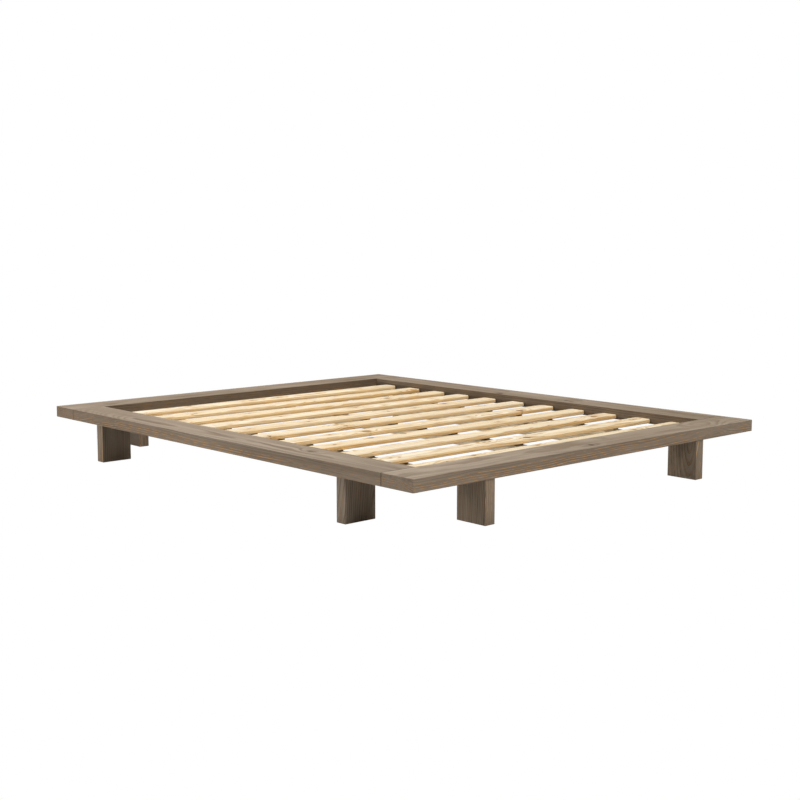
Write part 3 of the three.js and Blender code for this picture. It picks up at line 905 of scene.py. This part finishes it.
def make_steel(metal):
    for corner in CORNERS:
        node = "corner_plate_" + corner
        low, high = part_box(node)
        middle = (low + high) / 2
        stand_for(eased_copy(node + "_steel", node, PLATE_EASE, metal), node)
        places = [
            (middle.x + a * PLATE_SCREWS[0], middle.y + b * PLATE_SCREWS[1])
            for a in (-1, 1)
            for b in (-1, 1)
        ]
        screw_group("plate_screws_" + corner, places, low.z, metal)
    for end in ("foot", "head"):
        node = "hanger_" + end
        low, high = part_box(node)
        middle = (low + high) / 2
        stand_for(eased_copy(node + "_steel", node, HANGER_EASE, metal), node)
        flange = (high.x - middle.x) - HANGER_SCREW_INSET
        places = [
            (middle.x + a * flange, middle.y + b * HANGER_SCREWS)
            for a in (-1, 1)
            for b in (-1, 1)
        ]
        screw_group("hanger_screws_" + end, places, high.z - HANGER_STEEL, metal)
    for side in ("left", "right"):
        low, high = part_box("splice_" + side)
        middle = (low + high) / 2
        places = [(middle.x, middle.y + y) for y in SPLICE_SCREWS]
        screw_group("splice_screws_" + side, places, low.z, metal)


BEECH = dict(
    BARE,
    early=linear(214, 178, 132),
    deep=linear(202, 162, 116),
    late=linear(188, 144, 100),
)
DOWEL_SEED = 70


def make_dowels():
    """Dowels keep their CAD solids; they only get a material of their own."""
    for node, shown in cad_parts.items():
        if "dowel" not in node:
            continue
        grain = "Z" if node.startswith("leg_") else "Y"
        material = wood(
            node + "_beech", node, grain, "X", BEECH, DOWEL_SEED, (0.02, 0.03), 2 * MM,
            (0, 0), knots=0.0, glow=(0.0, 0.0), contrast=0.4,
        )
        shown.data.materials.clear()
        shown.data.materials.append(material)


# ---------------------------------------------------------------- stage and light
FLOOR_SIZE = 60
FLOOR_DROP = 0.5 * MM
FLOOR_GREY = 0.6
AMBIENT = 0.1
AMBIENT_COLOUR = (1.0, 0.985, 0.965, 1)
BACKDROP = (1.0, 1.0, 1.0, 1.0)


def seen_as_white(build, lit, output):
    """Shows plain white to the eye, and behaves as `lit` for every other ray."""
    eye = build.node("ShaderNodeLightPath").outputs["Is Camera Ray"]
    kind = "ShaderNodeBackground" if output.type == "OUTPUT_WORLD" else "ShaderNodeEmission"
    white = build.node(kind, {"Color": BACKDROP, "Strength": 1.0})
    mixed = build.node("ShaderNodeMixShader", {0: eye, 1: lit, 2: white.outputs[0]})
    build.feed(output.inputs[0], mixed.outputs[0])


def make_stage():
    bm = bmesh.new()
    bmesh.ops.create_grid(bm, x_segments=8, y_segments=8, size=FLOOR_SIZE / 2)
    for vertex in bm.verts:
        vertex.co.z = -FLOOR_DROP
    material = bpy.data.materials.new("floor_white")
    material.use_nodes = True
    material.node_tree.nodes.clear()
    build = Tree(material.node_tree)
    grey = (FLOOR_GREY, FLOOR_GREY, FLOOR_GREY, 1)
    diffuse = build.node("ShaderNodeBsdfDiffuse", {"Color": grey})
    seen_as_white(build, diffuse.outputs[0], build.node("ShaderNodeOutputMaterial"))
    floor = add_object("floor", bm, material)

    world = bpy.data.worlds.new("studio")
    world.use_nodes = True
    bpy.context.scene.world = world
    world.node_tree.nodes.clear()
    sky = Tree(world.node_tree)
    glow = sky.node("ShaderNodeBackground", {"Color": AMBIENT_COLOUR, "Strength": AMBIENT})
    seen_as_white(sky, glow.outputs[0], sky.node("ShaderNodeOutputWorld"))


WARM_WHITE = (1.0, 0.99, 0.97)
WARMER_WHITE = (1.0, 0.98, 0.96)
LIGHT_TARGET = (0, 0, 0.1)


def area_light(name, place, size, power, colour):
    data = bpy.data.lights.new(name, "AREA")
    data.shape = "RECTANGLE"
    data.size, data.size_y = size
    data.energy = power
    data.color = colour
    light = bpy.data.objects.new(name, data)
    light.location = place
    aim = Vector(LIGHT_TARGET) - Vector(place)
    light.rotation_euler = aim.to_track_quat("-Z", "Y").to_euler()
    bpy.context.scene.collection.objects.link(light)


def make_lights():
    area_light("overhead", (-0.4, 1.1, 4.5), (5.0, 5.0), power=350, colour=WARM_WHITE)
    area_light("front", (-0.8, -5.0, 3.8), (3.0, 2.0), power=130, colour=WARM_WHITE)
    area_light("left", (-5.5, 1.0, 1.6), (3.0, 1.5), power=45, colour=WARMER_WHITE)


def set_picture():
    view = bpy.context.scene.view_settings
    view.view_transform = "Standard"
    view.look = "None"
    view.exposure = 0
    view.gamma = 1


# ---------------------------------------------------------------- the whole bed
zinc_plate = zinc("zinc_plate")
make_rails()
make_legs(zinc_plate)
make_slats()
make_bearers()
make_steel(zinc_plate)
make_dowels()
make_stage()
make_lights()
set_picture()
